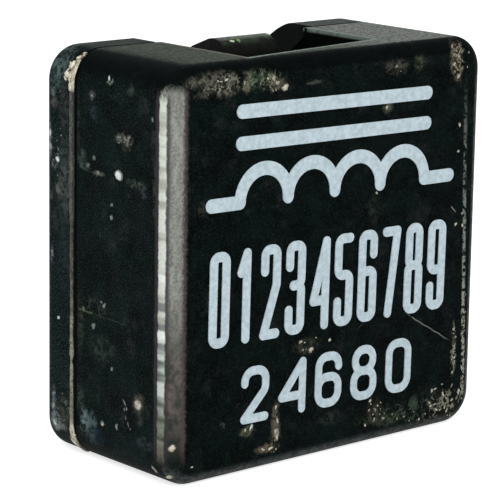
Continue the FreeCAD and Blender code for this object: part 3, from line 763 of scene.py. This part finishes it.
def residue(name, pale, dull, rim):
    """Flakes of dried glue or flux: pale in the middle, darker round the rim."""
    s = Shader(name)
    fine = s.noise(12.0, 3.0, 0.7)
    colour = s.blend(s.rise(s.noise(3.0, 4.0, 0.75), 0.38, 0.62), pale, dull)
    colour = s.blend(s.times(s.rise(fine, 0.5, 0.75), 0.4), colour, dull)
    middle = s.add(s.share_of("middle"), s.span(fine, -0.25, 0.25))
    colour = s.blend(s.rise(middle, 0.5, 0.1), colour, rim)
    return s.finish(colour, 0.6, s.bump(fine, 0.012), gloss=0.2)


def seam_residue(name, cream_ends=True):
    """Glue along a seam: dull and dirty, and cream at the top and the foot of the left one."""
    s = Shader(name)
    fine = s.noise(9.0, 4.0, 0.8)
    streak = s.noise(1.4, 4.0, 0.75, stretch=(1, 1, 0.6), shift=6.0)
    cream = s.blend(s.rise(fine, 0.35, 0.65), (146, 142, 118), (212, 206, 184))
    dull = s.blend(s.rise(fine, 0.35, 0.7), (38, 40, 38), (106, 104, 94))
    dull = s.blend(s.times(s.rise(streak, 0.5, 0.62), 0.5), dull, (104, 104, 88))
    lower = s.blend(s.rise(fine, 0.3, 0.65), (66, 70, 58), (152, 152, 132))
    grimy = s.add(s.times(fine, 0.5), s.times(s.noise(3.0, 3.0, 0.7, shift=11.0), 0.5))
    grime = s.rise(grimy, 0.5, 0.58)
    dull = s.blend(s.times(grime, 0.75), dull, (26, 31, 29))
    fray = s.span(s.noise(5.0, 4.0, 0.8, shift=2.0), -0.1, 0.1)
    frayed = s.rise(s.add(s.away(s.y, bead_middle), fray), 0.05, 0.09)
    dull = s.blend(s.times(frayed, 0.85), dull, (22, 28, 27))
    colour = dull
    if cream_ends:
        lower = s.blend(s.times(s.most(grime, frayed), 0.6), lower, (44, 50, 44))
        colour = s.blend(s.rise(s.add(s.z, s.times(streak, 2.0)), 6.4, 5.4), dull, lower)
        colour = s.blend(s.most(s.rise(s.z, 11.3, 11.5), s.rise(s.z, 1.3, 0.9)), colour, cream)
    return s.finish(colour, 0.55, s.bump(fine, 0.02), gloss=0.2)


# Meshes

def new_object(name, data):
    """Object in the scene that shows a mesh, a lamp or a camera."""
    item = bpy.data.objects.new(name, data)
    bpy.context.scene.collection.objects.link(item)
    return item


def add_piece(name, points, faces, material):
    """Smooth mesh from points in millimetres, riding on the part."""
    mesh = bpy.data.meshes.new(name)
    mesh.from_pydata([Vector(point) * MM for point in points], [], faces)
    mesh.materials.append(material)
    for face in mesh.polygons:
        face.use_smooth = True
    mesh.update()
    piece = new_object(name, mesh)
    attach(piece, "root")
    return piece


def within(value, low, high):
    """The value, or the nearer end where it lies outside."""
    return min(max(value, low), high)


def outline_run(start, end, step):
    """Places along the outline of the part on its left, from the top to the foot.

    start and end are lengths from the left end of the flat top. Each place is x, z, outward x
    and outward z.
    """
    quarter = math.pi / 2 * corner_radius
    flat = top - 2 * corner_radius
    places = []
    count = round((end - start) / step)
    for index in range(count + 1):
        run = start + (end - start) * index / count
        straight = within(run - quarter, 0, flat)
        turn = (run - straight) / corner_radius
        out_x, out_z = -math.sin(turn), math.cos(turn)
        x = left_side + corner_radius * (1 + out_x)
        z = top - corner_radius * (1 - out_z) - straight
        places.append((x, z, out_x, out_z))
    return places


def bead_width(height):
    """Half width of the bead at a height, straight between the listed heights."""
    for (low, start), (high, end) in zip(bead_widths, bead_widths[1:]):
        if height <= high:
            return start + (end - start) * max(height - low, 0) / (high - low)
    return bead_widths[-1][1]


def glue_bead(name, material, side=1, share=1.0):
    """Glue that squeezed out along the left seam and round its corners.

    With side -1 it is the right seam, and share makes it narrower.
    """
    ring = 9
    run_step = 0.05
    fade_in, fade_out = 12, 10
    points, faces = [], []
    places = outline_run(bead_start, bead_end, run_step)
    last = len(places) - 1
    for index, (x, z, out_x, out_z) in enumerate(places):
        run = index * run_step
        wave = noise.noise(Vector((run * 1.3, 4.0, 0)))
        lump = noise.noise(Vector((run * 4.5, 9.0, 2.0)))
        fade = min(1, index / fade_in, (last - index) / fade_out)
        uneven = 1 + 0.25 * wave + 0.35 * lump
        half_width = share * bead_width(z) * uneven * (0.4 + 0.6 * fade)
        proud = (0.035 + 0.015 * lump) * fade
        middle = bead_middle + 0.03 * wave
        for step in range(ring):
            angle = math.pi * step / (ring - 1)
            rise = proud * math.sin(angle) - 0.02 * abs(math.cos(angle)) ** 6
            depth = middle - half_width * math.cos(angle)
            points.append((side * (x + out_x * rise), depth, z + out_z * rise))
    for index in range(last):
        for step in range(ring - 1):
            a = index * ring + step
            corners = (a, a + 1, a + ring + 1, a + ring)
            # In reverse on the right, so that the faces look outward there too
            faces.append(corners[::side])
    return add_piece(name, points, faces, material)


def on_marked_side(x, z):
    """Point and outward direction on the marked face or on its rounded rim, in front of (x, z)."""
    up = z - mid_height
    from_middle_x = abs(x) - (right_side - corner_radius)
    from_middle_z = abs(up) - (mid_height - corner_radius)
    if from_middle_x > 0 and from_middle_z > 0:
        radius = math.hypot(from_middle_x, from_middle_z)
        inside = corner_radius - radius
        out = Vector((math.copysign(from_middle_x, x), 0, math.copysign(from_middle_z, up)))
        out /= radius
    elif from_middle_x > from_middle_z:
        inside, out = corner_radius - from_middle_x, Vector((math.copysign(1, x), 0, 0))
    else:
        inside, out = corner_radius - from_middle_z, Vector((0, 0, math.copysign(1, up)))
    over = within((edge_radius - inside) / edge_radius, 0, steepest)
    direction = out * over + Vector((0, -math.sqrt(1 - over ** 2), 0))
    depth = marked_face + edge_radius * (1 - math.sqrt(1 - over ** 2))
    return Vector((x, depth, z)), direction


def on_left_side(y, z):
    """Point and outward direction on the left side or on its rounded corners, beside (y, z)."""
    over = (abs(z - mid_height) - (mid_height - corner_radius)) / corner_radius
    over = within(over, 0, steepest)
    across = math.sqrt(1 - over ** 2)
    direction = Vector((-across, 0, math.copysign(over, z - mid_height)))
    return Vector((left_side + corner_radius * (1 - across), y, z)), direction


def add_flake(mesh_lists, place, direction, size, height, dice, stretch, turn):
    """Adds one ragged low dome to the lists, lying on the surface with its rim just under it."""
    points, faces, shares = mesh_lists
    sides = 16
    first = Vector((0, 0, 1)).cross(direction)
    first = (first if first.length > 0.1 else Vector((1, 0, 0))).normalized()
    second = direction.cross(first)
    seed = dice.random() * 50
    base = len(points)
    roughness = 0.7 if size < big_flake else 0.15
    rings = ((1.0, -0.25), (0.85, 0.4), (0.6, 0.8), (0.3, 0.96))
    for reach, lift in rings:
        for side in range(sides):
            angle = 2 * math.pi * side / sides
            rough = noise.noise(Vector((2 * math.cos(angle), 2 * math.sin(angle), seed)))
            ragged = 1 + roughness * rough
            along = size * stretch * ragged * math.cos(angle)
            across = size * ragged * math.sin(angle)
            right = along * math.cos(turn) - across * math.sin(turn)
            up = along * math.sin(turn) + across * math.cos(turn)
            bumpy = 1 + 0.4 * noise.noise(Vector((angle, seed, 3 * reach)))
            flat = place + (first * right + second * up) * reach
            points.append(flat + direction * height * lift * bumpy)
            shares.append(1 - reach)
    points.append(place + direction * height)
    shares.append(1.0)
    for ring in range(len(rings) - 1):
        for side in range(sides):
            a, b = base + ring * sides + side, base + ring * sides + (side + 1) % sides
            faces.append((a, b, b + sides, a + sides))
    inner, tip = base + (len(rings) - 1) * sides, base + len(rings) * sides
    for side in range(sides):
        faces.append((inner + side, inner + (side + 1) % sides, tip))


def flakes(name, material, face_spots=(), side_spots=(), face_clusters=(), side_clusters=(),
           height=0.3, seed=1):
    """One mesh of ragged flakes. height is their rise as a share of their size."""
    dice = random.Random(seed)
    mesh_lists = [], [], []
    for spots, surface in ((face_spots, on_marked_side), (side_spots, on_left_side)):
        for a, b, size, stretch, turn in spots:
            place, direction = surface(a, b)
            add_flake(mesh_lists, place, direction, size, height * size, dice, stretch,
                      math.radians(turn))
    for clusters, surface in ((face_clusters, on_marked_side), (side_clusters, on_left_side)):
        for a, z, spread_a, spread_z, count, size in clusters:
            for _ in range(count):
                across = within(a + dice.gauss(0, spread_a), left_side + flake_margin,
                                right_side - flake_margin)
                up = within(z + dice.gauss(0, spread_z), flake_margin, top - flake_margin)
                place, direction = surface(across, up)
                own_size = size * dice.uniform(0.5, 1.3)
                add_flake(mesh_lists, place, direction, own_size, height * size, dice,
                          dice.uniform(1, 2.4), dice.uniform(0, math.pi))
    points, faces, shares = mesh_lists
    piece = add_piece(name, points, faces, material)
    middle = piece.data.attributes.new("middle", "FLOAT", "POINT")
    middle.data.foreach_set("value", shares)
    return piece


# Stage, light and camera

def background_share(tree):
    """1 for rays that show the surface in the picture, in a mirror or through glass."""
    path = add_node(tree, "LightPath")
    share = path.outputs["Is Camera Ray"]
    for other in ("Is Glossy Ray", "Is Transmission Ray"):
        inputs = {0: share, 1: path.outputs[other]}
        share = add_node(tree, "Math", inputs, operation="MAXIMUM").outputs[0]
    return share


def white_floor():
    """Pale floor that keeps the part's shadow. In the picture it glows a little, up to white."""
    reach, glow_strength = 3.0, 0.7
    corners = [(-reach, -reach, 0), (reach, -reach, 0), (reach, reach, 0), (-reach, reach, 0)]
    mesh = bpy.data.meshes.new("floor")
    mesh.from_pydata(corners, [], [(0, 1, 2, 3)])
    material = bpy.data.materials.new("floor_paper")
    tree = empty_tree(material)
    paper = add_node(tree, "BsdfDiffuse", {"Color": (0.8, 0.8, 0.8, 1)})
    inputs = {0: background_share(tree), 1: glow_strength}
    strength = add_node(tree, "Math", inputs, operation="MULTIPLY").outputs[0]
    glow = add_node(tree, "Emission", {"Strength": strength})
    both = add_node(tree, "AddShader", {0: paper.outputs[0], 1: glow.outputs[0]})
    add_node(tree, "OutputMaterial", {"Surface": both.outputs[0]})
    mesh.materials.append(material)
    new_object("floor", mesh)


def pale_world(strength):
    """Even light from all round. It shows as plain white behind the part."""
    world = bpy.data.worlds.new("studio")
    bpy.context.scene.world = world
    tree = empty_tree(world)
    light = add_node(tree, "Background", {"Color": (0.95, 0.98, 1.0, 1), "Strength": strength})
    shown = add_node(tree, "Background", {"Color": (1, 1, 1, 1), "Strength": 1.0})
    inputs = {0: background_share(tree), 1: light.outputs[0], 2: shown.outputs[0]}
    mix = add_node(tree, "MixShader", inputs)
    add_node(tree, "OutputWorld", {"Surface": mix.outputs[0]})


def soft_lamp(name, azimuth, elevation, distance, size, power):
    """Square soft box that looks at the middle of the part.

    Azimuth 0 is in front of the marked face. distance and size are in metres.
    """
    lamp = bpy.data.lights.new(name, "AREA")
    lamp.size = size
    lamp.energy = power
    holder = new_object(name, lamp)
    turn, lift = math.radians(azimuth), math.radians(elevation)
    level = math.cos(lift)
    away = Vector((math.sin(turn) * level, -math.cos(turn) * level, math.sin(lift)))
    holder.location = Vector((0, 0, mid_height * MM)) + away * distance
    holder.rotation_mode = "QUATERNION"
    holder.rotation_quaternion = away.to_track_quat("Z", "Y")


def photo_camera():
    """Camera at the photograph's viewing angle and distance."""
    place = Vector((-51.7027, -58.3289, 23.0311))
    turn, tilt, roll = (math.radians(angle) for angle in (41.202, 12.368, 0.925))
    level = math.cos(tilt)
    ahead = Vector((math.sin(turn) * level, math.cos(turn) * level, -math.sin(tilt)))
    right = Vector((math.cos(turn), -math.sin(turn), 0))
    up = right.cross(ahead)
    across = right * math.cos(roll) + up * math.sin(roll)
    above = up * math.cos(roll) - right * math.sin(roll)
    lens = bpy.data.cameras.new("camera")
    lens.lens = 182.93
    lens.sensor_width = 36
    lens.clip_start, lens.clip_end = 0.005, 10
    camera = new_object("camera", lens)
    turned = Matrix((across, above, -ahead)).transposed()
    camera.matrix_world = Matrix.Translation(place * MM) @ turned.to_4x4()
    bpy.context.scene.camera = camera


def dress(node, material):
    """Puts a material on a CAD node."""
    mesh = nodes[node].data
    mesh.materials.clear()
    mesh.materials.append(material)


# The part

ink = printed_ink()
glue = seam_residue("seam_residue")
dull_glue = seam_residue("dull_residue", cream_ends=False)
flux = residue("dried_flux", (198, 193, 174), (124, 118, 104), (40, 40, 36))
dust = residue("pale_dust", (122, 130, 120), (74, 84, 76), (28, 34, 32))
cream = residue("cream_glue", (232, 228, 212), (176, 168, 142), (84, 76, 60))
drops = residue("pale_drops", (222, 228, 222), (176, 184, 178), (84, 92, 88))
dress("front_core", ferrite("front_ferrite", behind=False))
dress("rear_core", ferrite("rear_ferrite", behind=True))
dress("coil", wire_and_tin())
for name in ("bond_left", "bond_right"):
    dress(name, glue)
for name in ("marking_symbol", "marking_digits", "marking_code"):
    dress(name, ink)
glue_bead("seam_glue", glue)
glue_bead("right_seam_glue", dull_glue, side=-1, share=0.5)
flakes("flux_specks", flux, pale_face_flakes, pale_side_flakes, face_crumbs)
flakes("pale_specks", drops, white_face_flakes, white_side_flakes, seed=2)
flakes("dust_specks", dust, side_spots=grey_side_flakes, side_clusters=scuff_crumbs,
       height=0.15, seed=4)
flakes("seam_lumps", cream, side_spots=seam_lumps, side_clusters=lump_crumbs,
       height=0.6, seed=3)

white_floor()
pale_world(0.5)
soft_lamp("key", azimuth=-38, elevation=38, distance=0.16, size=0.12, power=0.2)
photo_camera()
bpy.context.scene.view_settings.view_transform = "Standard"
